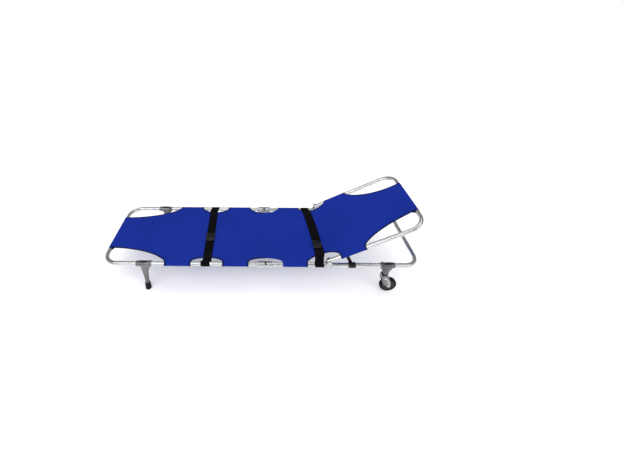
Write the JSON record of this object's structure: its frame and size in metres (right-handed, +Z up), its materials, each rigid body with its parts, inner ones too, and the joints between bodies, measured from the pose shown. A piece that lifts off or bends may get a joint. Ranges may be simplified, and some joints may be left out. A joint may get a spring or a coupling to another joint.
{
  "type": "folding stretcher",
  "caption": "Flat carrying bed on a bent tube frame that folds at the middle, with a raising backrest, fold-in legs, wheels at the head end, a fabric sheet and belts.",
  "frame": {"origin": "centre of the length and width, on the floor", "axes": "+X along the length to the raised head end, +Y across, +Z up"},
  "size_m": [1.9, 0.5466, 0.5242],
  "materials": {
    "frame_tube": "satin anodised, lightly scuffed",
    "bracket": "cast, satin",
    "leg_casting": "cast, satin",
    "fork_plate": "pressed, dull",
    "fastener": "zinc plated",
    "black_plastic": "moulded nylon",
    "strut_paint": "black paint, satin",
    "rubber": "matt",
    "tyre": "matt tread",
    "sheet_fabric": "coated woven nylon",
    "webbing": "woven belt webbing"
  },
  "bodies": {
    "head_frame": {"head_frame_tube": "frame_tube", "near_pivot_bracket": "bracket", "far_pivot_bracket": "bracket", "near_rail_plug_head": "black_plastic", "far_rail_plug_head": "black_plastic", "sheet_seat": "sheet_fabric", "belt_2_strap_near": "webbing", "belt_2_strap_far": "webbing", "belt_2_buckle_socket": "black_plastic", "belt_2_buckle_tongue": "black_plastic"},
    "fold_links": {"near_fold_link": "bracket", "far_fold_link": "bracket", "near_fold_pin_foot": "fastener", "near_fold_pin_head": "fastener", "far_fold_pin_foot": "fastener", "far_fold_pin_head": "fastener"},
    "foot_frame": {"foot_frame_tube": "frame_tube", "near_rail_plug_foot": "black_plastic", "far_rail_plug_foot": "black_plastic", "sheet_foot": "sheet_fabric", "belt_1_strap_near": "webbing", "belt_1_strap_far": "webbing", "belt_1_buckle_socket": "black_plastic", "belt_1_buckle_tongue": "black_plastic"},
    "backrest": {"backrest_tube": "frame_tube", "sheet_back": "sheet_fabric", "near_pivot_bolt": "fastener", "far_pivot_bolt": "fastener"},
    "prop_collars": {"near_prop_collar": "black_plastic", "far_prop_collar": "black_plastic"},
    "prop_struts": {"near_prop_strut": "strut_paint", "far_prop_strut": "strut_paint", "near_strut_pin": "fastener", "far_strut_pin": "fastener", "near_strut_rivet": "fastener", "far_strut_rivet": "fastener"},
    "near_foot_leg_body": {"near_foot_leg": "leg_casting", "near_foot_tip": "rubber"},
    "near_wheel_leg_body": {"near_wheel_leg": "leg_casting", "near_wheel_fork": "fork_plate", "near_fork_bolt": "fastener", "near_axle": "fastener"},
    "near_wheel": {"near_tyre": "tyre", "near_hub": "black_plastic"},
    "near_foot_lock": {"near_foot_lock_button": "black_plastic"},
    "near_wheel_lock": {"near_wheel_lock_button": "black_plastic"},
    "far_foot_leg_body": {"far_foot_leg": "leg_casting", "far_foot_tip": "rubber"},
    "far_wheel_leg_body": {"far_wheel_leg": "leg_casting", "far_wheel_fork": "fork_plate", "far_fork_bolt": "fastener", "far_axle": "fastener"},
    "far_wheel": {"far_tyre": "tyre", "far_hub": "black_plastic"},
    "far_foot_lock": {"far_foot_lock_button": "black_plastic"},
    "far_wheel_lock": {"far_wheel_lock_button": "black_plastic"}
  },
  "joints": [
    {"name": "fold", "type": "hinge", "parent": "head_frame", "child": "fold_links", "pos_m": [0.06, 0, 0.205], "axis": [0, -1, 0], "range_deg": [0, 90]},
    {"name": "fold_foot_side", "type": "hinge", "parent": "fold_links", "child": "foot_frame", "pos_m": [0, 0, 0.205], "axis": [0, -1, 0], "range_deg": [0, 90]},
    {"name": "backrest_raise", "type": "hinge", "parent": "head_frame", "child": "backrest", "pos_m": [0.403, 0, 0.237], "axis": [0, 1, 0], "range_deg": [0, 28.5]},
    {"name": "prop_slide", "type": "slide", "parent": "head_frame", "child": "prop_collars", "axis": [1, 0, 0], "range_m": [0, 0.0569]},
    {"name": "prop_pivot", "type": "hinge", "parent": "backrest", "child": "prop_struts", "pos_m": [0.49528, 0, 0.2871], "axis": [0, 1, 0], "range_deg": [-72, 0]},
    {"name": "near_foot_leg_fold", "type": "hinge", "parent": "foot_frame", "child": "near_foot_leg_body", "pos_m": [-0.692, -0.2525, 0.205], "axis": [1, 0, 0], "range_deg": [0, 87]},
    {"name": "near_wheel_leg_fold", "type": "hinge", "parent": "head_frame", "child": "near_wheel_leg_body", "pos_m": [0.75, -0.2525, 0.205], "axis": [1, 0, 0], "range_deg": [0, 90]},
    {"name": "near_wheel_roll", "type": "hinge", "parent": "near_wheel_leg_body", "child": "near_wheel", "pos_m": [0.778, -0.2525, 0.05], "axis": [0, 1, 0], "continuous": true},
    {"name": "near_foot_lock_pull", "type": "slide", "parent": "near_foot_leg_body", "child": "near_foot_lock", "axis": [0, 0.7071, 0.7071], "range_m": [0, 0.0025]},
    {"name": "near_wheel_lock_pull", "type": "slide", "parent": "near_wheel_leg_body", "child": "near_wheel_lock", "axis": [0, 0.7071, 0.7071], "range_m": [0, 0.0025]},
    {"name": "far_foot_leg_fold", "type": "hinge", "parent": "foot_frame", "child": "far_foot_leg_body", "pos_m": [-0.692, 0.2525, 0.205], "axis": [-1, 0, 0], "range_deg": [0, 87]},
    {"name": "far_wheel_leg_fold", "type": "hinge", "parent": "head_frame", "child": "far_wheel_leg_body", "pos_m": [0.75, 0.2525, 0.205], "axis": [-1, 0, 0], "range_deg": [0, 90]},
    {"name": "far_wheel_roll", "type": "hinge", "parent": "far_wheel_leg_body", "child": "far_wheel", "pos_m": [0.778, 0.2525, 0.05], "axis": [0, 1, 0], "continuous": true},
    {"name": "far_foot_lock_pull", "type": "slide", "parent": "far_foot_leg_body", "child": "far_foot_lock", "axis": [0, -0.7071, 0.7071], "range_m": [0, 0.0025]},
    {"name": "far_wheel_lock_pull", "type": "slide", "parent": "far_wheel_leg_body", "child": "far_wheel_lock", "axis": [0, -0.7071, 0.7071], "range_m": [0, 0.0025]}
  ],
  "couplings": [
    {"joint": "fold_foot_side", "follows": "fold", "ratio": 1},
    {"joint": "prop_slide", "follows": "backrest_raise", "m_per_rad": 0.11331},
    {"joint": "prop_pivot", "follows": "backrest_raise", "ratio": -2.4687},
    {"joint": "near_foot_leg_fold", "follows": "fold", "ratio": 0.96667},
    {"joint": "near_wheel_leg_fold", "follows": "fold", "ratio": 1},
    {"joint": "far_foot_leg_fold", "follows": "fold", "ratio": 0.96667},
    {"joint": "far_wheel_leg_fold", "follows": "fold", "ratio": 1}
  ]
}
